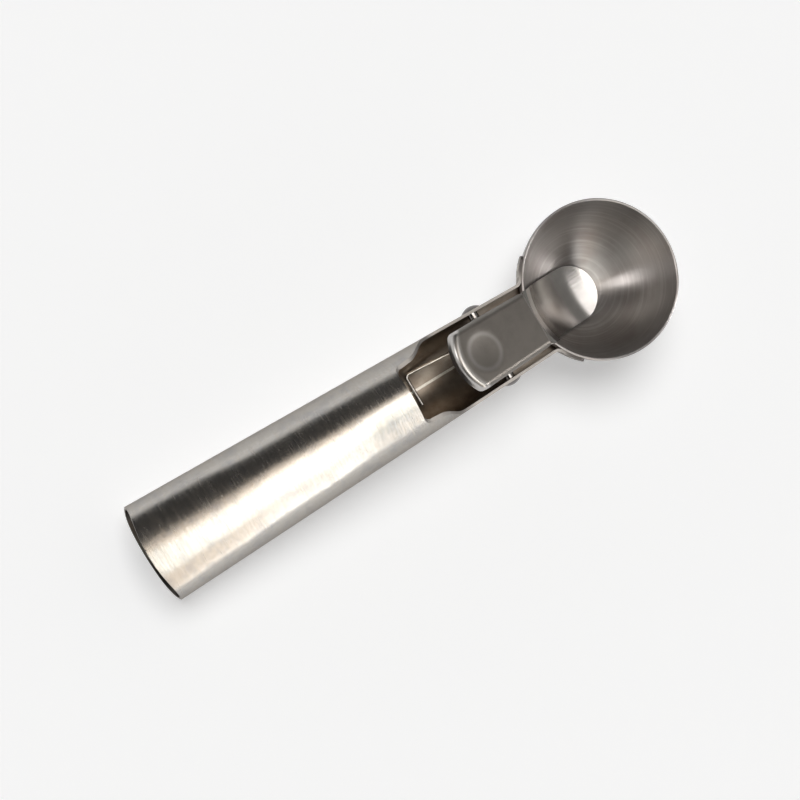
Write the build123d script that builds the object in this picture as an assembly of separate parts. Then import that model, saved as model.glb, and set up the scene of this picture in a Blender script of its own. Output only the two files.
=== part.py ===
from build123d import *
from math import acos, asin, atan2, cos, degrees, hypot, pi, radians, sin, sqrt, tan
import os

# Lever ice cream scoop in stainless sheet and wire.
# It is modelled in its handle's frame: X runs from the tail to the bowl along the
# tube's centre line, Z is up and the middle plane is Y = 0. All lengths are millimetres.
# The finished pieces are then stood on a table, resting on the tail and on the bowl.

# ---------------------------------------------------------------- driving sizes
# Handle tube, oval at the tail and narrower but deeper towards the bowl
TUBE_WALL = 0.9
TAIL_WIDTH = 32.8
TAIL_HEIGHT = 21.2
FRONT_WIDTH = 23.4          # of the oval at the middle of the bowl, where the tube would end
FRONT_HEIGHT = 31.4
TAIL_BOW_TOP = 3.3          # how far the tail cut bulges in its upper wall
TAIL_BOW_BOTTOM = 0.9       # and in its lower wall
TAIL_SETBACK = 0.75         # how much shorter the upper wall is than the lower one

# Bowl
BOWL_X = 166.5              # middle of the bowl, from the tail
RIM_Z = 1.0                 # the rim's plane and the arms' top edge
BOWL_RADIUS = 26.0
BOWL_WALL = 0.8
RIM_ROUND = 0.25

# Cut-out in the tube's top, which leaves the two arms
CUT_TO_PIVOT = 33.2         # from its rear edge
CUT_SHOULDER_Z = 9.3
CUT_CORNER_RADIUS = 2.2
CUT_SHOULDER_LENGTH = 5.3   # from the rear edge to where the shoulder ends
CUT_SLOPE_Z = 8.9           # height of that end
CUT_LENGTH = 18.2           # from the rear edge to the arm's straight top

# The floor stops ahead of the rivet, and only the arms go on to the bowl
FLOOR_TO_PIVOT = 2.5
FLOOR_CORNER_RADIUS = 3.5
ARM_HEIGHT = 11.0

# Ears of the arms, bent outwards round the bowl and spot-welded to it
BEND_RADIUS = 1.8           # on the outer face
EAR_ANGLE = 38.8            # the welds' place round the bowl, from the tail's side
EAR_END = 3.6               # from the welds to the ear's end
EAR_CORNER_RADIUS = 1.5
WELD_RADIUS = 1.5
WELD_PITCH = 4.6
WELD_DEPTH = 0.45
WELD_SINK = 0.1             # how far the weld's face lies below the ear's

# Weld seam along the tube's floor
SEAM_WIDTH = 0.8
SEAM_HEIGHT = 0.14
SEAM_CLEARANCE = 0.01       # bead to the tube's inner wall
SEAM_END_GAP = 4.0

# Pivot rivet
PIVOT_TO_BOWL = 41.0
PIVOT_Z = -3.0
PIN_RADIUS = 1.7
HEAD_RADIUS = 3.35
HEAD_RISE = 1.3
PIN_HOLE_CLEARANCE = 0.03
LEVER_HOLE_CLEARANCE = 0.05

# Thumb lever: a tray-shaped pad and a dished tongue from one sheet
LEVER_SHEET = 0.8
PAD_SLOPE = 19.5            # degrees that the pad rises towards the tail
PAD_LENGTH = 33.0           # from the crease to the lip
PAD_REAR_WIDTH = 20.2
LIP_RADIUS = 15.5
LIP_CORNER_RADIUS = 2.4
PAD_BEND_RADIUS = 1.9
LIP_DEPTH = 3.7
NOSE_FLANGE_DEPTH = 2.3
PIVOT_EAR_RADIUS = 3.4
PIVOT_EAR_TOP_WIDTH = 14.0
DIMPLE_RADIUS = 6.55
DIMPLE_DEPTH = 0.6
DIMPLE_EDGE_RADIUS = 8.0    # of the soft turn from the pad into it
DIMPLE_TO_LIP = 10.2        # from its middle
TONGUE_WIDTH = 19.2
TONGUE_TIP_X = 5.3          # the tongue's tip past the middle of the bowl
TONGUE_REAR_GAP = 0.8       # tongue to bowl at the rim
TONGUE_TIP_GAP = 0.35       # and at the bottom
CREASE_Z = 3.7
NOSE_SLOPE = 50.0           # degrees of the nose between the crease and the tongue
NOSE_BOW_RADIUS = 34.0      # the crease's bow in plan
RIM_CLEARANCE = 0.87        # nose to rim in the middle, where it is widest
NOSE_REACH = 8.0            # how far the nose's cone runs past the rim and the crease, both hidden

# Torsion spring on the rivet
WIRE = 1.0
COIL_RADIUS = 2.6           # to the wire's middle
COIL_TURNS = 4
COIL_PITCH = 1.06
HOOK_TO_PIVOT = 27.1        # where the floor leg turns across the floor
HOOK_NEAR_Y = 5.8           # the turn's side of the middle plane
HOOK_FAR_Y = -4.9           # and the hook's free end
HOOK_BEND_RADIUS = 1.2
WIRE_CLEARANCE = 0.05       # wire to the floor and to the pad
LEVER_LEG_GAP = 0.3         # between the coil and the turn that moves with the lever
LAST_TURN = 290.0           # degrees of that turn
LEVER_LEG_TO_LIP = 9.0      # from its end under the pad

# ---------------------------------------------------------------- worked out from them
REACH = 400.0               # longer than the part, for blocks that only cut
TAIL_OVERRUN = 4.0
BOWL_CENTRE = Vector(BOWL_X, 0, RIM_Z)
BOWL_INNER = BOWL_RADIUS - BOWL_WALL
EAR_FACE = BOWL_RADIUS + TUBE_WALL
ARM_BOTTOM_Z = RIM_Z - ARM_HEIGHT

PIVOT_X = BOWL_X - PIVOT_TO_BOWL
CUT_X = PIVOT_X - CUT_TO_PIVOT
FLOOR_END_X = PIVOT_X + FLOOR_TO_PIVOT
HOOK_X = PIVOT_X - HOOK_TO_PIVOT
DIMPLE_U = PAD_LENGTH - DIMPLE_TO_LIP
LEVER_LEG_U = PAD_LENGTH - LEVER_LEG_TO_LIP

TONGUE_OUTER = BOWL_INNER - TONGUE_REAR_GAP
TONGUE_INNER = TONGUE_OUTER - LEVER_SHEET
TONGUE_CENTRE = BOWL_CENTRE - Vector(0, 0, TONGUE_REAR_GAP - TONGUE_TIP_GAP)

NOSE_SIDE_OFFSET = LEVER_SHEET / sin(radians(NOSE_SLOPE))
NOSE_RUN = 1 / tan(radians(NOSE_SLOPE))
CREASE_X = (BOWL_X - BOWL_INNER + RIM_CLEARANCE + NOSE_SIDE_OFFSET
            - (CREASE_Z - RIM_Z) * NOSE_RUN)

# The pad's frame: x from the crease towards the lip, z up from its top face
PAD_PLANE = Plane(
    origin=(CREASE_X, 0, CREASE_Z),
    x_dir=(-cos(radians(PAD_SLOPE)), 0, sin(radians(PAD_SLOPE))),
    z_dir=(sin(radians(PAD_SLOPE)), 0, cos(radians(PAD_SLOPE))),
)
PIVOT_IN_PAD = PAD_PLANE.to_local_coords(Vector(PIVOT_X, 0, PIVOT_Z))


def between_sections(tail_size, front_size, x):
    """A size of the tube at x, on a straight line from the tail to the bowl's middle."""
    return tail_size + (front_size - tail_size) * x / BOWL_X


def half_width(x):
    return between_sections(TAIL_WIDTH, FRONT_WIDTH, x) / 2


def half_height(x):
    return between_sections(TAIL_HEIGHT, FRONT_HEIGHT, x) / 2


def floor_z(x, y, lift):
    """Height of a point at (x, y) that lies a lift above the tube's inner floor."""
    width = half_width(x) - TUBE_WALL - lift
    height = half_height(x) - TUBE_WALL - lift
    return -height * sqrt(1 - (y / width) ** 2)


def section(x, inset):
    """The tube's oval at x, inset from its outer skin."""
    ring = Edge.make_circle(1, Plane.YZ)
    stretch = Matrix([
        [1, 0, 0, x],
        [0, half_width(x) - inset, 0, 0],
        [0, 0, half_height(x) - inset, 0],
        [0, 0, 0, 1],
    ])
    return Face(Wire([ring.transform_geometry(stretch)]))


def tube_bar(inset):
    """Solid bar inside the tube's skin, from behind the tail to the bowl's middle."""
    return loft([section(-TAIL_OVERRUN, inset), section(BOWL_X, inset)], ruled=True)


def ball(radius, centre=BOWL_CENTRE):
    return Pos(centre) * Sphere(radius)


def shell(inner, outer, centre=BOWL_CENTRE):
    return ball(outer, centre) - ball(inner, centre)


def up_the_tail(low, high, z):
    """A size of the tail cut at a height, from its value in the lower wall to the upper one."""
    return low + (high - low) * (z / TAIL_HEIGHT + 0.5)


def tail_keeper():
    """Block ahead of the tail's bowed cut."""
    edge = TAIL_WIDTH / 2

    def outline(z):
        tip = up_the_tail(0, TAIL_SETBACK, z)
        side = tip + up_the_tail(TAIL_BOW_BOTTOM, TAIL_BOW_TOP, z)
        arc = ThreePointArc((side, -edge), (tip, 0), (side, edge))
        sides = Polyline((side, edge), (side, TAIL_WIDTH), (REACH, TAIL_WIDTH),
                         (REACH, -TAIL_WIDTH), (side, -TAIL_WIDTH), (side, -edge))
        return Pos(0, 0, z) * make_face(Wire(arc.edges() + sides.edges()))

    return loft([outline(-FRONT_HEIGHT), outline(FRONT_HEIGHT)], ruled=True)


def cut_out():
    """Everything above the arms: a side profile right across the tube."""
    shoulder_end = (CUT_X + CUT_SHOULDER_LENGTH, CUT_SLOPE_Z)
    foot = (CUT_X + CUT_LENGTH, RIM_Z)
    rear = FilletPolyline((CUT_X, REACH), (CUT_X, CUT_SHOULDER_Z), shoulder_end,
                          radius=CUT_CORNER_RADIUS)
    shoulder = (CUT_SHOULDER_LENGTH, CUT_SLOPE_Z - CUT_SHOULDER_Z)
    slope = Spline(shoulder_end, foot, tangents=(shoulder, (1, 0)))
    rest = Polyline(foot, (REACH, RIM_Z), (REACH, REACH), (CUT_X, REACH))
    profile = make_face(Wire(rear.edges() + slope.edges() + rest.edges()))
    return extrude(Plane.XZ * profile, TAIL_WIDTH, both=True)


def floor_cut():
    """Everything ahead of the floor's end and below the arms."""
    end = FilletPolyline((FLOOR_END_X, -REACH), (FLOOR_END_X, ARM_BOTTOM_Z), (REACH, ARM_BOTTOM_Z),
                         radius=FLOOR_CORNER_RADIUS)
    rest = Polyline((REACH, ARM_BOTTOM_Z), (REACH, -REACH), (FLOOR_END_X, -REACH))
    profile = make_face(Wire(end.edges() + rest.edges()))
    return extrude(Plane.XZ * profile, TAIL_WIDTH, both=True)


def ear_plane(side):
    """Plane that faces out of the bowl through the middle of one ear."""
    out = Vector(-cos(radians(EAR_ANGLE)), side * sin(radians(EAR_ANGLE)), 0)
    along = Vector(sin(radians(EAR_ANGLE)), side * cos(radians(EAR_ANGLE)), 0)
    middle = BOWL_CENTRE - Vector(0, 0, ARM_HEIGHT / 2)
    return Plane(origin=middle, x_dir=along, z_dir=out)


def ear_window(side):
    """Block that holds one arm's bend and ear, up to the ear's rounded end."""
    outline = Rectangle(BOWL_RADIUS, ARM_HEIGHT, align=(Align.MAX, Align.CENTER))
    outline = Pos(EAR_END, 0, 0) * outline
    outline = fillet(outline.vertices().sort_by(Axis.X)[-2:], EAR_CORNER_RADIUS)
    return extrude(ear_plane(side) * outline, 2 * BOWL_RADIUS)


def weld_columns(side):
    """Round columns out of the bowl through the ear's two spot welds."""
    places = [(0, -WELD_PITCH / 2), (0, WELD_PITCH / 2)]
    return [extrude(ear_plane(side) * Pos(x, y, 0) * Circle(WELD_RADIUS), 2 * BOWL_RADIUS)
            for x, y in places]


def sheet_form(inset):
    """What the sheet's skin wraps: the tube's bar run into a ball, with a rounded turn between."""
    radius = EAR_FACE - inset
    form = tube_bar(inset) + ball(radius)
    on_ball = [edge for edge in form.edges() if abs((edge @ 0.3 - BOWL_CENTRE).length - radius) < 0.001]
    meeting = [edge for edge in on_ball if (edge @ 0.3).X < BOWL_X - BOWL_RADIUS / 2]
    return form.fillet(BEND_RADIUS + inset, meeting)


def handle_tube():
    tube = (sheet_form(0) - sheet_form(TUBE_WALL)) & tail_keeper()
    tube -= cut_out()
    tube -= floor_cut()
    bend_x = BOWL_X - EAR_FACE - 2 * BEND_RADIUS
    beyond = Box(REACH, REACH, REACH, align=(Align.MIN, Align.CENTER, Align.CENTER))
    tube -= Pos(bend_x, 0, 0) * beyond - ear_window(1) - ear_window(-1)
    pocket = shell(EAR_FACE - WELD_DEPTH, EAR_FACE + TUBE_WALL)
    for side in (1, -1):
        for column in weld_columns(side):
            tube -= pocket & column
    pin_hole = Cylinder(PIN_RADIUS + PIN_HOLE_CLEARANCE, REACH, rotation=(90, 0, 0))
    return tube - Pos(PIVOT_X, 0, PIVOT_Z) * pin_hole


def spot_welds(side):
    nugget = shell(EAR_FACE - WELD_DEPTH, EAR_FACE - WELD_SINK)
    return [nugget & column for column in weld_columns(side)]


def seam_weld():
    """Low bead along the inside of the tube's floor."""
    root = TUBE_WALL + SEAM_CLEARANCE
    bead = tube_bar(root) - tube_bar(root + SEAM_HEIGHT)
    length = FLOOR_END_X - 2 * SEAM_END_GAP
    strip = Box(length, SEAM_WIDTH, FRONT_HEIGHT, align=(Align.MIN, Align.CENTER, Align.MAX))
    return bead & (Pos(SEAM_END_GAP, 0, 0) * strip)


def bowl():
    above = Box(REACH, REACH, REACH, align=(Align.CENTER, Align.CENTER, Align.MIN))
    cup = shell(BOWL_INNER, BOWL_RADIUS) - Pos(BOWL_CENTRE) * above
    rim = cup.edges().filter_by_position(Axis.Z, RIM_Z, RIM_Z)
    return fillet(rim, RIM_ROUND)


def pivot_rivet():
    """Shank with a domed head at each end, seated on the tube's outer skin."""
    seat = half_width(PIVOT_X)
    shank = Cylinder(PIN_RADIUS, 2 * seat, rotation=(90, 0, 0))
    dome_radius = (HEAD_RADIUS ** 2 + HEAD_RISE ** 2) / (2 * HEAD_RISE)
    dome = Pos(0, 0, seat + HEAD_RISE - dome_radius) * Sphere(dome_radius)
    head = dome & (Pos(0, 0, seat) * Cylinder(HEAD_RADIUS, 2 * HEAD_RISE))
    skirt = Pos(0, 0, seat) * Cylinder(HEAD_RADIUS, HEAD_RISE,
                                       align=(Align.CENTER, Align.CENTER, Align.MAX))
    place = Pos(PIVOT_X, 0, PIVOT_Z)
    heads = [place * Rot(-90 * side, 0, 0) * (head + skirt) for side in (1, -1)]
    rivet = place * shank
    for one in heads:
        rivet += one - tube_bar(0)
    return rivet


def nose_mould(offset):
    """The hollow that the nose and the tongue line, grown outwards by an offset."""
    foot_z = RIM_Z - NOSE_REACH
    top_z = CREASE_Z + NOSE_REACH
    side = NOSE_BOW_RADIUS + offset / sin(radians(NOSE_SLOPE))
    cone = Cone(side - (CREASE_Z - foot_z) * NOSE_RUN, side + (top_z - CREASE_Z) * NOSE_RUN,
                top_z - foot_z, align=(Align.CENTER, Align.CENTER, Align.MIN))
    return ball(TONGUE_INNER + offset, TONGUE_CENTRE) + Pos(
        CREASE_X + NOSE_BOW_RADIUS, 0, foot_z) * cone


def pad_outline(inset, front):
    """The pad in plan, from ahead of the crease to the bowed lip."""
    nose = TONGUE_WIDTH / 2 - inset
    rear = PAD_REAR_WIDTH / 2 - inset
    tip = PAD_LENGTH - inset
    radius = LIP_RADIUS - inset
    chord = tip - radius + sqrt(radius ** 2 - rear ** 2)
    arc = ThreePointArc((chord, -rear), (tip, 0), (chord, rear))
    sides = Polyline((chord, rear), (-front, nose), (-front, -nose), (chord, -rear))
    return make_face(Wire(arc.edges() + sides.edges()))


def pad_block(inset, front, corner, bend):
    """Block under the pad's outline with its lip corners and top edges rounded."""
    depth = PIVOT_EAR_TOP_WIDTH + 2 * PIVOT_EAR_RADIUS
    block = extrude(pad_outline(inset, front), -depth)
    corners = block.edges().filter_by(Axis.Z).sort_by(Axis.X)[-2:]
    block = fillet(corners, corner)
    top = block.edges().filter_by_position(Axis.Z, -0.001, 0.001)
    return fillet(top.sort_by(Axis.X)[1:], bend)


def flange_profile():
    """Side view of the pad and its flanges, in the pad's frame, as a block right across."""
    depth = PIVOT_EAR_RADIUS
    u, v = PIVOT_IN_PAD.X, PIVOT_IN_PAD.Z
    half_top = PIVOT_EAR_TOP_WIDTH / 2
    strip = Polygon((-PAD_LENGTH, 0), (PAD_LENGTH + 1, 0), (PAD_LENGTH + 1, -LIP_DEPTH),
                    (u, -LIP_DEPTH), (u - half_top, -NOSE_FLANGE_DEPTH),
                    (NOSE_FLANGE_DEPTH, -NOSE_FLANGE_DEPTH), (0, -LEVER_SHEET),
                    (-PAD_LENGTH, -LEVER_SHEET), align=None)
    web = Polygon((u - half_top, -NOSE_FLANGE_DEPTH), (u + half_top, -NOSE_FLANGE_DEPTH),
                  (u + depth, v), (u - depth, v), align=None)
    boss = Pos(u, v) * Circle(depth)
    return extrude(Plane.XZ * (strip + web + boss), PAD_REAR_WIDTH, both=True)


def tongue():
    """Dished sheet that lines the bowl, from the crease to its round tip."""
    half = TONGUE_WIDTH / 2
    tip = BOWL_X + TONGUE_TIP_X
    middle = tip - half
    plan = Polygon((CREASE_X - half, -half), (middle, -half), (middle, half),
                   (CREASE_X - half, half), align=None) + Pos(middle, 0) * Circle(half)
    prism = extrude(plan, BOWL_RADIUS, both=True)
    under_pad = PAD_PLANE * Box(REACH, REACH, REACH, align=(Align.CENTER, Align.CENTER, Align.MAX))
    return (nose_mould(LEVER_SHEET) - nose_mould(0)) & prism & under_pad


def dimple_radius():
    return (DIMPLE_RADIUS ** 2 + DIMPLE_DEPTH ** 2) / (2 * DIMPLE_DEPTH)


def dimple_edges(tray):
    """The dimple's edges in the pad's top face."""
    middle = Vector(DIMPLE_U, 0, 0)
    on_top = tray.edges().filter_by_position(Axis.Z, -0.001, 0.001)
    return [edge for edge in on_top if abs((edge @ 0.5 - middle).length - DIMPLE_RADIUS) < 0.001]


def thumb_lever():
    tray = pad_block(0, PAD_BEND_RADIUS * 2, LIP_CORNER_RADIUS, PAD_BEND_RADIUS)
    hollow = pad_block(LEVER_SHEET, PAD_BEND_RADIUS * 3, LIP_CORNER_RADIUS - LEVER_SHEET,
                       PAD_BEND_RADIUS - LEVER_SHEET)
    tray = (tray - Pos(0, 0, -LEVER_SHEET) * hollow) & flange_profile()
    radius = dimple_radius()
    press = Pos(DIMPLE_U, 0, radius - DIMPLE_DEPTH) * Sphere(radius)
    bulge = Pos(DIMPLE_U, 0, radius - DIMPLE_DEPTH) * Sphere(radius + LEVER_SHEET)
    bulge &= Pos(DIMPLE_U, 0, -LEVER_SHEET / 2) * Cylinder(
        DIMPLE_RADIUS, 2 * DIMPLE_RADIUS, align=(Align.CENTER, Align.CENTER, Align.MAX))
    tray = tray + bulge - press
    tray = fillet(dimple_edges(tray), DIMPLE_EDGE_RADIUS)
    lever = PAD_PLANE * tray - nose_mould(0) + tongue()
    pin_hole = Cylinder(PIN_RADIUS + LEVER_HOLE_CLEARANCE, REACH, rotation=(90, 0, 0))
    return lever - Pos(PIVOT_X, 0, PIVOT_Z) * pin_hole


def wire_along(path):
    """Round wire swept along a path of lines, arcs or a helix."""
    return sweep(Plane(origin=path @ 0, z_dir=path % 0) * Circle(WIRE / 2), path=path)


def bearing(point):
    """Direction and distance of a point from the pivot, seen from the side."""
    along, up = point.X - PIVOT_X, point.Z - PIVOT_Z
    return atan2(up, along), hypot(along, up)


def coil_rise():
    """How far the coil climbs along the rivet for each millimetre round it."""
    return COIL_PITCH / (2 * pi * COIL_RADIUS)


def hook_corner():
    """Where the floor leg turns across the tube's floor, resting on it."""
    lift = WIRE / 2 + WIRE_CLEARANCE
    return Vector(HOOK_X, HOOK_NEAR_Y, floor_z(HOOK_X, HOOK_NEAR_Y, lift))


def coil_start_y():
    """Side of the coil that the floor leg joins, in line with the coil's climb."""
    run = sqrt(bearing(hook_corner())[1] ** 2 - COIL_RADIUS ** 2)
    return HOOK_NEAR_Y - run * coil_rise()


def return_spring():
    """Coil on the rivet with its leg along the tube's floor and the hook across it."""
    corner = hook_corner()
    direction, distance = bearing(corner)
    start = direction + acos(COIL_RADIUS / distance)
    frame = Plane(origin=(PIVOT_X, coil_start_y(), PIVOT_Z),
                  x_dir=(cos(start), 0, sin(start)), z_dir=(0, -1, 0))
    coil = frame * Helix(COIL_PITCH, COIL_TURNS * COIL_PITCH, COIL_RADIUS)
    leg = FilletPolyline((HOOK_X, HOOK_FAR_Y, corner.Z), corner, coil @ 0, radius=HOOK_BEND_RADIUS)
    return wire_along(Wire(leg.edges() + coil.edges()))


def return_spring_lever_leg():
    """The spring's last turn and the leg that presses on the underside of the pad."""
    y = coil_start_y() - COIL_TURNS * COIL_PITCH - WIRE - LEVER_LEG_GAP
    under = LEVER_SHEET + DIMPLE_DEPTH + WIRE / 2 + WIRE_CLEARANCE
    tip = PAD_PLANE.from_local_coords(Vector(LEVER_LEG_U, 0, -under))
    tip = Vector(tip.X, y, tip.Z)
    direction, distance = bearing(tip)
    end = degrees(direction - acos(COIL_RADIUS / distance))
    frame = Plane(origin=(PIVOT_X, y, PIVOT_Z), x_dir=(1, 0, 0), z_dir=(0, -1, 0))
    turn = frame * CenterArc((0, 0), COIL_RADIUS, end - LAST_TURN, LAST_TURN)
    leg = Line(turn @ 1, tip)
    return wire_along(Wire(turn.edges() + leg.edges()))


def standing():
    """Place that rests the tail's lower edge and the bowl on Z = 0, centred along X."""
    tail_drop = half_height(0)
    rise = atan2(RIM_Z + tail_drop, BOWL_X)
    slope = asin(BOWL_RADIUS / hypot(BOWL_X, RIM_Z + tail_drop)) - rise
    rear = TAIL_SETBACK * cos(slope) - tail_drop * sin(slope)
    front = BOWL_X * cos(slope) - RIM_Z * sin(slope) + BOWL_RADIUS
    return Pos(-(rear + front) / 2, 0, tail_drop * cos(slope)) * Rot(0, -degrees(slope), 0)


def main():
    os.makedirs("parts", exist_ok=True)
    pieces = {
        "handle_tube": handle_tube(),
        "tube_seam_weld": seam_weld(),
        "scoop_bowl": bowl(),
        "left_ear_spot_welds": Compound(spot_welds(1)),
        "right_ear_spot_welds": Compound(spot_welds(-1)),
        "pivot_rivet": pivot_rivet(),
        "return_spring": return_spring(),
        "thumb_lever": thumb_lever(),
        "return_spring_lever_leg": return_spring_lever_leg(),
    }
    place = standing()
    for name, piece in pieces.items():
        export_step(place * piece, f"parts/{name}.step")


if __name__ == "__main__":
    main()
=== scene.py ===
"""Looks of a lever ice cream scoop: steel finishes for its CAD pieces, and a plain white stage."""

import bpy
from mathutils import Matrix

bl_info = {
    "name": "Lever Ice Cream Scoop",
    "version": (1, 0, 0),
    "blender": (4, 5, 0),
    "location": "View3D > Sidebar > Scoop",
    "description": "Finishes the pieces of a lever ice cream scoop and sets its stage",
    "category": "Object",
}

import math

import bmesh
import bpy
from mathutils import Matrix, Vector

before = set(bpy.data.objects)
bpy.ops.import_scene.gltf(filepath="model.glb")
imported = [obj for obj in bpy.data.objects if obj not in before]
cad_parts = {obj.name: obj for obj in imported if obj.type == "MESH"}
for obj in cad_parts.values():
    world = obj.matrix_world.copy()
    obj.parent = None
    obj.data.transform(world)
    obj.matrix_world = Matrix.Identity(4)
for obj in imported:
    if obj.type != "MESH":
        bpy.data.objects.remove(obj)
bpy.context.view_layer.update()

# All lengths are in metres. The scoop lies tail down, so the handle's own axes have this tilt.
HANDLE_TILT = math.radians(4.97661)
TAIL_CENTRE = Vector((-0.095806, 0.0, 0.01056))
BOWL_CENTRE = Vector((0.069979, 0.0, 0.026))
CREASE = Vector((0.044289, 0.0, 0.026473))
MICRON = 0.000001

# Along the handle from the tail's centre: the painted shade at the start of its inside, the start of the
# ears, and the centre of the bowl that they hold.
MOUTH_SHADE = (0.002, 0.008)
EARS = (0.1425, 0.1455)
BOWL_ALONG = 0.1665

# Along the handle from the crease: the change from pad to tongue, and backwards the dimple and
# the lip. The dimple lies on the pad's slope, which is longer by its stretch; the lip is bowed.
PAD_TO_TONGUE = (-0.0005, 0.0005)
DIMPLE_BEHIND = 0.02149
SLOPE_STRETCH = 1.061
LIP_BEHIND = (0.0283, 0.0299)
LIP_BOW = 35.0

# The painted highlight round the dimple, where its sloped wall would catch the light: the radii at which
# it starts, is brightest and ends.
DIMPLE_HIGHLIGHT = (0.0044, 0.0056, 0.0068)

# The tongue's shading takes this share of its tilt to the sides, as if it were bent one way only.
TONGUE_SIDE_TILT = 0.25

CAMERA_PLACE = Vector((-0.13900, 0.0196, 0.49976))
CAMERA_TARGET = Vector((-0.00520, 0.00052, 0.01845))
CAMERA_ROLL = math.radians(-31.09)

TABLE_GLOW = 0.365
SUN_PLACE = (0.04, 0.34, 0.93)
SUN_ANGLE = math.radians(40.0)

# The panels that the steel mirrors: name, place, target, width, depth, brightness and tint.
WARM = (1.0, 0.88, 0.76)
COOL = (0.8, 0.95, 1.0)
PALE = (0.92, 0.97, 1.0)
CREAM = (1.0, 0.97, 0.95)
SCOOP_MIDDLE = (0.0, 0.0, 0.02)
PANELS = (
    ("panel over the handle", (-0.07, -0.07, 0.60), (-0.07, -0.07, 0.0), 0.26, 0.54, 0.85, WARM),
    ("second panel over the handle", (-0.07, -0.12, 0.595), (-0.07, -0.12, 0.0), 0.26, 0.42, 1.1, WARM),
    ("middle of the panels", (-0.07, -0.205, 0.59), (-0.07, -0.205, 0.0), 0.26, 0.43, 1.2, COOL),
    ("panel beside the handle", (-0.07, -0.47, 0.37), SCOOP_MIDDLE, 0.26, 0.50, 1.3, WARM),
    ("front of the panel beside the handle", (0.01, -0.48, 0.33), SCOOP_MIDDLE, 0.14, 0.44, 1.4, PALE),
    ("panel over the bowl", (0.175, 0.03, 0.62), (0.175, 0.03, 0.0), 0.35, 0.18, 2.0, CREAM),
    ("lamp behind the bowl", (-0.67, 0.34, 0.594), (0.08, 0.0, 0.02), 0.20, 0.26, 10.0, CREAM),
    ("lamp ahead of the bowl", (0.49, -0.32, 0.35), (0.07, 0.0, 0.02), 0.25, 0.12, 12.0, CREAM),
)


# ---------------------------------------------------------------- shader tools


class Socket:
    """One output of a node, on which sums are written as Python expressions."""

    def __init__(self, recipe, output):
        self.recipe = recipe
        self.output = output

    def __add__(self, other):
        return self.recipe.math("ADD", self, other)

    __radd__ = __add__

    def __sub__(self, other):
        return self.recipe.math("SUBTRACT", self, other)

    def __rsub__(self, other):
        return self.recipe.math("SUBTRACT", other, self)

    def __mul__(self, other):
        return self.recipe.math("MULTIPLY", self, other)

    __rmul__ = __mul__

    def __truediv__(self, other):
        return self.recipe.math("DIVIDE", self, other)

    def __rtruediv__(self, other):
        return self.recipe.math("DIVIDE", other, self)

    def __pow__(self, other):
        return self.recipe.math("POWER", self, other)

    def __neg__(self):
        return self.recipe.math("MULTIPLY", self, -1.0)

    def __abs__(self):
        return self.recipe.math("ABSOLUTE", self)

    def root(self):
        return self.recipe.math("SQRT", self)

    def least(self, other):
        """The smaller of two numbers."""
        return self.recipe.math("MINIMUM", self, other)

    def most(self, other):
        """The larger of two numbers."""
        return self.recipe.math("MAXIMUM", self, other)

    def dot(self, other):
        """The scalar product of two vectors."""
        settings = {"operation": "DOT_PRODUCT"}
        return self.recipe.node("ShaderNodeVectorMath", settings, {0: self, 1: other}, "Value")

    def ramp(self, start, end):
        """0 at start, 1 at end, and smooth between them."""
        settings = {"interpolation_type": "SMOOTHSTEP"}
        sockets = {"Value": self, "From Min": start, "From Max": end}
        return self.recipe.node("ShaderNodeMapRange", settings, sockets)


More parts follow.
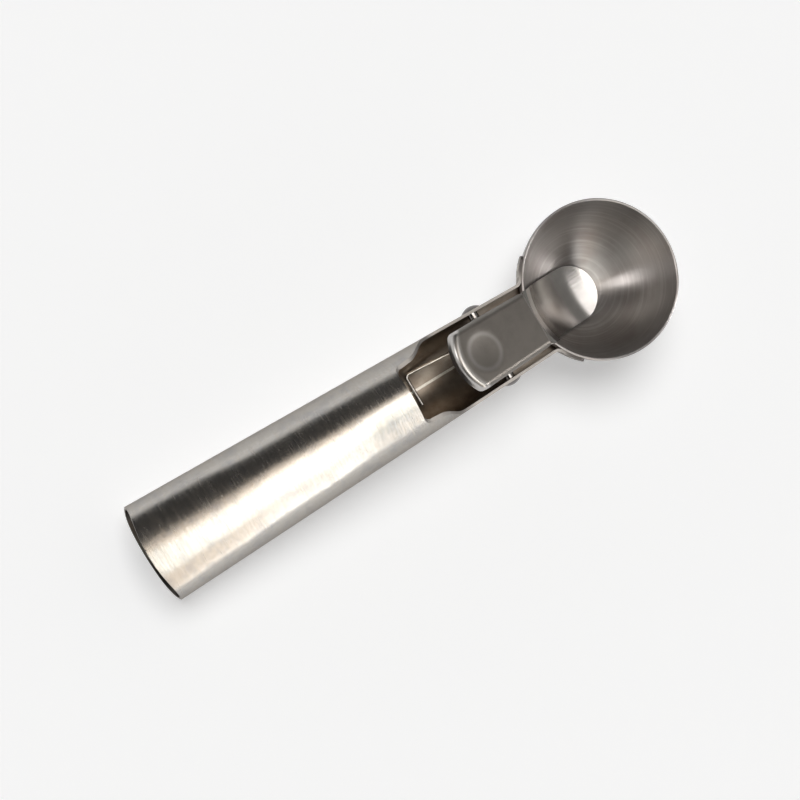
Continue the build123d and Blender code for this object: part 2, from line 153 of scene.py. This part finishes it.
class Recipe:
    """A node tree that is filled one node at a time."""

    def __init__(self, tree):
        self.tree = tree
        tree.nodes.clear()

    def node(self, kind, settings, sockets, *outputs):
        """Adds a node: its settings first, then its sockets' values or links. Gives the outputs named."""
        made = self.tree.nodes.new(kind)
        for name, value in settings.items():
            setattr(made, name, value)
        for key, value in sockets.items():
            if isinstance(value, Socket):
                self.tree.links.new(value.output, made.inputs[key])
            else:
                made.inputs[key].default_value = value
        chosen = [made.outputs[name] for name in outputs] or made.outputs[:1]
        given = [Socket(self, output) for output in chosen]
        return given[0] if len(given) == 1 else given

    def math(self, operation, *terms):
        """A sum on one or two numbers."""
        return self.node("ShaderNodeMath", {"operation": operation}, dict(enumerate(terms)))

    def mix(self, mask, first, second):
        """A colour between two, by a mask from 0 to 1."""
        # A Mix node for colours has its factor at 0, its colours at 6 and 7, and its result at 2.
        return self.node("ShaderNodeMix", {"data_type": "RGBA"}, {0: mask, 6: first, 7: second}, 2)

    def between(self, mask, first, second):
        """A number between two, by a mask from 0 to 1."""
        return first + mask * (second - first)

    def place(self, turn=0.0, centre=(0.0, 0.0, 0.0), source="Object"):
        """Object coordinates about a centre, or the surface's normal, turned about Y."""
        where = self.node("ShaderNodeTexCoord", {}, {}, source)
        back = tuple(-part for part in centre)
        settings = {"vector_type": "POINT"}
        moved = self.node("ShaderNodeMapping", settings, {"Vector": where, "Location": back})
        turned = {"Vector": moved, "Rotation": (0.0, turn, 0.0)}
        return self.node("ShaderNodeMapping", settings, turned)

    def split(self, vector):
        return self.node("ShaderNodeSeparateXYZ", {}, {"Vector": vector}, "X", "Y", "Z")

    def join(self, x, y, z):
        return self.node("ShaderNodeCombineXYZ", {}, {"X": x, "Y": y, "Z": z})

    def noise(self, vector, scale, detail, roughness):
        sockets = {"Vector": vector, "Scale": scale, "Detail": detail, "Roughness": roughness}
        return self.node("ShaderNodeTexNoise", {}, sockets, "Fac")

    def drawn_noise(self, parts, scales, detail, roughness):
        """Noise with a scale for each of its three parts, which draws it out into streaks."""
        scaled = [part * scale for part, scale in zip(parts, scales)]
        return self.noise(self.join(*scaled), 1.0, detail, roughness)

    def bump(self, height, **sockets):
        """The surface's normal, tilted by a height in metres."""
        return self.node("ShaderNodeBump", {}, {**sockets, "Height": height, "Distance": 1.0})

    def levelled(self, mask, share):
        """The surface's normal with a share of its tilt to the left and right, where a mask is 1."""
        x, y, z = self.split(self.node("ShaderNodeNewGeometry", {}, {}, "Normal"))
        lower = self.join(x, y * self.between(mask, 1.0, share), z)
        return self.node("ShaderNodeVectorMath", {"operation": "NORMALIZE"}, {0: lower})


def steel(name, paint, **constants):
    """A new steel material. paint fills its recipe and gives base colour, roughness and normal."""
    material = bpy.data.materials.new(name)
    material.use_nodes = True
    recipe = Recipe(material.node_tree)
    sockets = {"Metallic": 1.0, **constants, **paint(recipe)}
    shader = recipe.node("ShaderNodeBsdfPrincipled", {}, sockets)
    recipe.node("ShaderNodeOutputMaterial", {}, {"Surface": shader})
    return material


def finish_node(name, material):
    """Gives a CAD node its material."""
    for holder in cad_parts[name].material_slots:
        holder.material = material


def tinted(steel_colour, tint=(1.0, 1.0, 1.0)):
    """A steel's colour, opaque, with each channel multiplied by the tint's."""
    return [channel * share for channel, share in zip(steel_colour, tint)] + [1.0]


# ---------------------------------------------------------------- finishes


def brushed_tube(recipe):
    """Fine scratches round the tube from its brushing, and dull inside, where no brush came. Painted
    shade darkens its sides and ears, and a painted dark brown shade fills its inside, near black at the
    mouth.
    """
    steel_colour = bpy.context.scene.scoop_finish.tube_colour
    along = recipe.place(turn=HANDLE_TILT, centre=TAIL_CENTRE)
    x, y, z = recipe.split(along)
    facing = recipe.place(turn=HANDLE_TILT, source="Normal")
    side = recipe.split(facing)[1]

    # Outwards is away from the tube's middle line, and on the ears away from the bowl's centre.
    ear = x.ramp(*EARS)
    past_bowl = (x - BOWL_ALONG) * ear
    distance = (past_bowl * past_bowl + y * y + z * z).root()
    outward = facing.dot(recipe.join(past_bowl, y, z)) / distance
    inside = (-outward).ramp(0.3, 0.6)
    cut_edge = 1.0 - abs(outward).ramp(0.80, 0.88)
    flank_shade = abs(side).ramp(0.55, 0.85)

    scratches = recipe.drawn_noise((x, y, z), (7000.0, 110.0, 110.0), 3.0, 0.65)
    streaks = recipe.drawn_noise((x, y, z), (1700.0, 160.0, 160.0), 3.0, 0.65)
    dents = recipe.drawn_noise((x, y, z), (45.0, 45.0, 45.0), 0.0, 0.5)
    stains = recipe.noise(along, 190.0, 5.0, 0.62)

    stained = tinted(steel_colour, (0.84, 0.86, 0.90))
    streaked = tinted(steel_colour, (1.0, 0.93, 0.84))
    outer = recipe.mix(stains.ramp(0.42, 0.68), tinted(steel_colour), stained)
    outer = recipe.mix(0.35 * streaks.ramp(0.35, 0.7), outer, streaked)
    # Painted shade: the tube's sides, and more strongly the ears, are darkened towards near-black steel.
    outer = recipe.mix((0.4 * flank_shade).most(0.65 * ear), outer, (0.16, 0.15, 0.14, 1.0))
    # Painted shade inside: a dark brown for the shade in the tube and its warm light mirrored wall to
    # wall, varied by stains, and near black at the mouth.
    inner_shade_and_stains = recipe.mix(stains.ramp(0.35, 0.7), (0.36, 0.31, 0.26, 1.0), (0.26, 0.21, 0.17, 1.0))
    inner_shade_and_stains = recipe.mix(x.ramp(*MOUTH_SHADE), (0.11, 0.10, 0.09, 1.0), inner_shade_and_stains)
    # Painted shade on the ears' cut edges, which go near black; the tube's own cut edges keep plain grey
    # steel.
    bare_edge_and_ear_shade = recipe.mix(ear, (0.42, 0.40, 0.38, 1.0), (0.13, 0.12, 0.115, 1.0))

    brushed = 0.15 + 0.07 * streaks.ramp(0.3, 0.7) + 0.04 * scratches + 0.07 * stains
    unbrushed = recipe.between(inside, brushed, 0.30 + 0.12 * stains)
    height = scratches * (10.0 * MICRON) + streaks * (12.0 * MICRON) + dents * (800.0 * MICRON)
    return {
        "Base Color": recipe.mix(cut_edge, recipe.mix(inside, outer, inner_shade_and_stains), bare_edge_and_ear_shade),
        "Roughness": recipe.between(cut_edge, unbrushed, 0.48),
        "Normal": recipe.bump(height),
    }


def spun_bowl(recipe):
    """Fine rings about the bowl's axis from its spinning, with clouds of brighter and duller steel."""
    steel_colour = bpy.context.scene.scoop_finish.bowl_colour
    about = recipe.place(turn=HANDLE_TILT, centre=BOWL_CENTRE)
    x, y, z = recipe.split(about)
    latitude = recipe.math("ARCTAN2", (x * x + y * y).root(), -z)
    rings = recipe.drawn_noise((latitude, x, y), (160.0, 25.0, 25.0), 3.0, 0.7)
    tool_marks = recipe.drawn_noise((latitude, x, y), (28.0, 40.0, 40.0), 2.0, 0.5)
    clouds = recipe.noise(about, 75.0, 3.0, 0.55)

    duller = tinted(steel_colour, (0.84, 0.80, 0.79))
    brighter = tinted(steel_colour, (1.22, 1.22, 1.22))
    shade = recipe.mix(clouds.ramp(0.35, 0.7), tinted(steel_colour), duller)
    return {
        "Base Color": recipe.mix(0.7 * tool_marks.ramp(0.46, 0.72), shade, brighter),
        "Roughness": 0.26 + 0.10 * rings + 0.06 * clouds,
        "Normal": recipe.bump(rings * (15.0 * MICRON) + tool_marks * (40.0 * MICRON)),
    }


def lever_sheet(recipe):
    """One sheet: a satin pad behind the crease, and a polished tongue brushed lengthwise before it. A
    painted highlight circles the dimple, and the rolled lip is smoother and painted lighter as a
    highlight.
    """
    steel_colour = bpy.context.scene.scoop_finish.lever_colour
    along = recipe.place(turn=HANDLE_TILT, centre=CREASE)
    x, y, z = recipe.split(along)
    tongue = x.ramp(*PAD_TO_TONGUE)
    lip = (LIP_BOW * y * y - x).ramp(*LIP_BEHIND)
    starts, brightest, ends = DIMPLE_HIGHLIGHT
    from_dimple = (((x + DIMPLE_BEHIND) * SLOPE_STRETCH) ** 2.0 + y * y).root()
    dimple_highlight = from_dimple.ramp(starts, brightest) * (1.0 - from_dimple.ramp(brightest, ends))

    fine = recipe.drawn_noise((x, y, z), (140.0, 1500.0, 140.0), 3.0, 0.6)
    grain = recipe.noise(along, 4200.0, 2.0, 0.6)
    clouds = recipe.noise(along, 170.0, 4.0, 0.55)
    cloudy = clouds.ramp(0.35, 0.7)

    pad = tinted(steel_colour, (0.37, 0.355, 0.335))
    pad_clouds = tinted(steel_colour, (0.32, 0.307, 0.29))
    # Painted highlight: a lighter band round the dimple, as if its sloped wall caught the light.
    dimple_highlight_colour = tinted(steel_colour, (0.60, 0.60, 0.60))
    satin = recipe.mix(0.5 * dimple_highlight, recipe.mix(cloudy, pad, pad_clouds), dimple_highlight_colour)
    polished = recipe.mix(cloudy, tinted(steel_colour), tinted(steel_colour, (0.9, 0.9, 0.9)))
    pad_roughness = 0.40 - 0.14 * lip + 0.06 * grain + 0.06 * clouds
    tongue_roughness = 0.14 + 0.06 * fine + 0.05 * clouds
    height = recipe.between(tongue, grain * (4.0 * MICRON), fine * (10.0 * MICRON))
    return {
        # The lip takes most of the polished colour: a painted highlight on its rolled edge, besides its
        # lower roughness.
        "Base Color": recipe.mix(tongue.most(0.8 * lip), satin, polished),
        "Roughness": recipe.between(tongue, pad_roughness, tongue_roughness),
        "Normal": recipe.bump(height, Normal=recipe.levelled(tongue, TONGUE_SIDE_TILT)),
    }


def clouded(recipe, scale, bright, dark, roughness, spread, height):
    """Small clouds between two colours, rougher and higher by their mask, for pieces without a grain."""
    clouds = recipe.noise(recipe.place(), scale, 3.0, 0.6)
    return {
        "Base Color": recipe.mix(clouds.ramp(0.3, 0.7), bright, dark),
        "Roughness": roughness + spread * clouds,
        "Normal": recipe.bump(clouds * height),
    }


def rivet_steel(recipe):
    """Bright, with painted shade where the heads turn down to the arms."""
    bright, dark = (0.50, 0.48, 0.46, 1.0), (0.38, 0.36, 0.35, 1.0)
    look = clouded(recipe, 900.0, bright, dark, 0.10, 0.10, 20.0 * MICRON)
    side = recipe.split(recipe.place(source="Normal"))[1]
    # Painted shade where the heads turn sideways, towards the arms.
    sideways_shade = abs(side).ramp(0.2, 0.6)
    look["Base Color"] = recipe.mix(sideways_shade, look["Base Color"], (0.15, 0.14, 0.135, 1.0))
    return look


def spring_wire(recipe):
    """Drawn wire, smooth and a little yellow."""
    bright, dark = (0.62, 0.60, 0.56, 1.0), (0.45, 0.43, 0.4, 1.0)
    return clouded(recipe, 700.0, bright, dark, 0.18, 0.14, 10.0 * MICRON)


def weld_metal(recipe):
    """Bright metal that has run and set in small ripples."""
    bright, dark = (0.88, 0.84, 0.77, 1.0), (0.72, 0.67, 0.60, 1.0)
    return clouded(recipe, 1500.0, bright, dark, 0.32, 0.15, 40.0 * MICRON)


# ---------------------------------------------------------------- what a user changes


class SCOOP_PG_finish(bpy.types.PropertyGroup):
    """Colours of the steel."""

    tube_colour: bpy.props.FloatVectorProperty(
        name="Handle steel",
        description="Colour of the handle tube's steel",
        subtype="COLOR",
        default=(0.60, 0.575, 0.54),
        min=0.0,
        max=1.0,
    )
    bowl_colour: bpy.props.FloatVectorProperty(
        name="Bowl steel",
        description="Colour of the spun bowl's steel",
        subtype="COLOR",
        default=(0.41, 0.395, 0.385),
        min=0.0,
        max=1.0,
    )
    lever_colour: bpy.props.FloatVectorProperty(
        name="Lever steel",
        description="Colour of the thumb lever's steel",
        subtype="COLOR",
        default=(0.60, 0.58, 0.56),
        min=0.0,
        max=1.0,
    )


class SCOOP_PG_stage(bpy.types.PropertyGroup):
    """Camera and light."""

    lens: bpy.props.FloatProperty(
        name="Lens",
        description="Focal length on a 36 mm sensor",
        subtype="DISTANCE_CAMERA",
        default=72.69,
        min=10.0,
    )
    panels: bpy.props.FloatProperty(
        name="Panels", description="Brightness of the panels that the steel mirrors", default=1.0, min=0.0
    )
    table_lamp: bpy.props.FloatProperty(
        name="Table lamp", description="Strength of the lamp that lights the table", default=1.85, min=0.0
    )
    room: bpy.props.FloatProperty(
        name="Room", description="Brightness of the room around", default=1.0, min=0.0
    )


# ---------------------------------------------------------------- stage


def aim(place, target, roll=0.0):
    """A matrix at a place, whose -Z looks at a target, with its X level before the roll."""
    back = (place - target).normalized()
    across = Vector((0.0, 1.0, 0.0)).cross(back).normalized()
    up = back.cross(across)
    c, s = math.cos(roll), math.sin(roll)
    columns = (c * across + s * up, c * up - s * across, back)
    turned = Matrix([[column[i] for column in columns] for i in range(3)]).to_4x4()
    return Matrix.Translation(place) @ turned


def light(name, kind, place, target, settings, seen_by):
    """A lamp, seen either by diffuse rays, which light the table, or by glossy ones, for the steel."""
    data = bpy.data.lights.new(name, kind)
    for key, value in settings.items():
        setattr(data, key, value)
    lamp = bpy.data.objects.new(name, data)
    bpy.context.scene.collection.objects.link(lamp)
    lamp.matrix_world = aim(Vector(place), Vector(target))
    lamp.visible_diffuse = seen_by == "diffuse"
    lamp.visible_glossy = seen_by == "glossy"


def panel(name, place, target, width, depth, brightness, tint):
    """A soft panel, which shows in the steel at the brightness given."""
    settings = {"shape": "RECTANGLE", "size": width, "size_y": depth, "color": tint}
    settings["energy"] = brightness * math.pi * width * depth
    light(name, "AREA", place, target, settings, "glossy")


def place_camera(scene, lens):
    data = bpy.data.cameras.new("camera")
    data.sensor_width = 36.0
    data.lens = lens
    data.clip_start = 0.01
    camera = bpy.data.objects.new("camera", data)
    scene.collection.objects.link(camera)
    camera.matrix_world = aim(CAMERA_PLACE, CAMERA_TARGET, CAMERA_ROLL)
    scene.camera = camera


def lay_table(scene):
    """A white table that glows where it is looked at or mirrored, but lights nothing by that."""
    mesh = bpy.data.meshes.new("table")
    shape = bmesh.new()
    bmesh.ops.create_grid(shape, x_segments=1, y_segments=1, size=3.0)
    shape.to_mesh(mesh)
    shape.free()
    table = bpy.data.objects.new("table", mesh)
    scene.collection.objects.link(table)
    material = bpy.data.materials.new("white table")
    material.use_nodes = True
    recipe = Recipe(material.node_tree)
    seen, mirrored, through = recipe.node(
        "ShaderNodeLightPath", {}, {}, "Is Camera Ray", "Is Glossy Ray", "Is Transmission Ray"
    )
    looked_at = (seen + mirrored + through).least(1.0)
    body = recipe.node("ShaderNodeBsdfDiffuse", {}, {"Color": (0.8, 0.8, 0.8, 1.0)})
    white = {"Color": (1.0, 1.0, 1.0, 1.0), "Strength": TABLE_GLOW * looked_at}
    glow = recipe.node("ShaderNodeEmission", {}, white)
    both = recipe.node("ShaderNodeAddShader", {}, {0: body, 1: glow})
    recipe.node("ShaderNodeOutputMaterial", {}, {"Surface": both})
    mesh.materials.append(material)


def surround(scene, strength):
    """A room that is white low down and dark overhead, and less dark ahead of the bowl."""
    world = bpy.data.worlds.new("room")
    scene.world = world
    world.use_nodes = True
    recipe = Recipe(world.node_tree)
    toward = recipe.node("ShaderNodeTexCoord", {}, {}, "Generated")
    x, _, z = recipe.split(toward)
    overhead = recipe.mix(x.ramp(0.0, 0.7), (0.03, 0.029, 0.028, 1.0), (0.20, 0.195, 0.185, 1.0))
    shade = recipe.mix(z.ramp(0.12, 0.42), (0.93, 0.93, 0.93, 1.0), overhead)
    room = recipe.node("ShaderNodeBackground", {}, {"Color": shade, "Strength": strength})
    recipe.node("ShaderNodeOutputWorld", {}, {"Surface": room})


# ---------------------------------------------------------------- operators


class SCOOP_OT_handle(bpy.types.Operator):
    """Brushes the handle tube and finishes its welds"""

    bl_idname = "scoop.handle"
    bl_label = "Handle"

    def execute(self, context):
        tint = {"Specular Tint": (0.55, 0.53, 0.51, 1.0)}
        finish_node("handle_tube", steel("tube brushed across", brushed_tube, **tint))
        weld = steel("weld metal", weld_metal)
        for name in ("tube_seam_weld", "left_ear_spot_welds", "right_ear_spot_welds"):
            finish_node(name, weld)
        return {"FINISHED"}


class SCOOP_OT_bowl(bpy.types.Operator):
    """Gives the bowl its spun finish"""

    bl_idname = "scoop.bowl"
    bl_label = "Bowl"

    def execute(self, context):
        brushing = {"Anisotropic": 0.9, "Anisotropic Rotation": 0.25}
        finish_node("scoop_bowl", steel("spun bowl", spun_bowl, **brushing))
        return {"FINISHED"}


class SCOOP_OT_lever(bpy.types.Operator):
    """Gives the thumb lever its satin pad and polished tongue"""

    bl_idname = "scoop.lever"
    bl_label = "Thumb lever"

    def execute(self, context):
        finish_node("thumb_lever", steel("satin lever sheet", lever_sheet))
        return {"FINISHED"}


class SCOOP_OT_pivot(bpy.types.Operator):
    """Finishes the rivet and the spring on it"""

    bl_idname = "scoop.pivot"
    bl_label = "Rivet and spring"

    def execute(self, context):
        finish_node("pivot_rivet", steel("rivet steel", rivet_steel))
        wire = steel("drawn spring wire", spring_wire)
        for name in ("return_spring", "return_spring_lever_leg"):
            finish_node(name, wire)
        return {"FINISHED"}


class SCOOP_OT_stage(bpy.types.Operator):
    """Sets the white table, the lamps and the camera"""

    bl_idname = "scoop.stage"
    bl_label = "Stage"

    def execute(self, context):
        scene = context.scene
        wanted = scene.scoop_stage
        scene.view_settings.view_transform = "Standard"
        place_camera(scene, wanted.lens)
        lay_table(scene)
        surround(scene, wanted.room)
        sun = {"energy": wanted.table_lamp, "angle": SUN_ANGLE}
        light("table lamp", "SUN", SUN_PLACE, (0.0, 0.0, 0.0), sun, "diffuse")
        for name, place, target, width, depth, brightness, tint in PANELS:
            panel(name, place, target, width, depth, wanted.panels * brightness, tint)
        return {"FINISHED"}


class SCOOP_PT_panel(bpy.types.Panel):
    """Lists the pieces of the scoop"""

    bl_label = "Ice cream scoop"
    bl_idname = "SCOOP_PT_panel"
    bl_space_type = "VIEW_3D"
    bl_region_type = "UI"
    bl_category = "Scoop"

    def draw(self, context):
        column = self.layout.column()
        for group in (context.scene.scoop_finish, context.scene.scoop_stage):
            for name in group.bl_rna.properties.keys():
                if name not in ("rna_type", "name"):
                    column.prop(group, name)
        for operator in OPERATORS:
            column.operator(operator.bl_idname)


OPERATORS = (SCOOP_OT_handle, SCOOP_OT_bowl, SCOOP_OT_lever, SCOOP_OT_pivot, SCOOP_OT_stage)
CLASSES = (SCOOP_PG_finish, SCOOP_PG_stage) + OPERATORS + (SCOOP_PT_panel,)


def register():
    for cls in CLASSES:
        bpy.utils.register_class(cls)
    bpy.types.Scene.scoop_finish = bpy.props.PointerProperty(type=SCOOP_PG_finish)
    bpy.types.Scene.scoop_stage = bpy.props.PointerProperty(type=SCOOP_PG_stage)


def unregister():
    del bpy.types.Scene.scoop_stage
    del bpy.types.Scene.scoop_finish
    for cls in reversed(CLASSES):
        bpy.utils.unregister_class(cls)


def main():
    register()
    for operator in OPERATORS:
        group, name = operator.bl_idname.split(".")
        getattr(getattr(bpy.ops, group), name)()


if __name__ == "__main__":
    main()
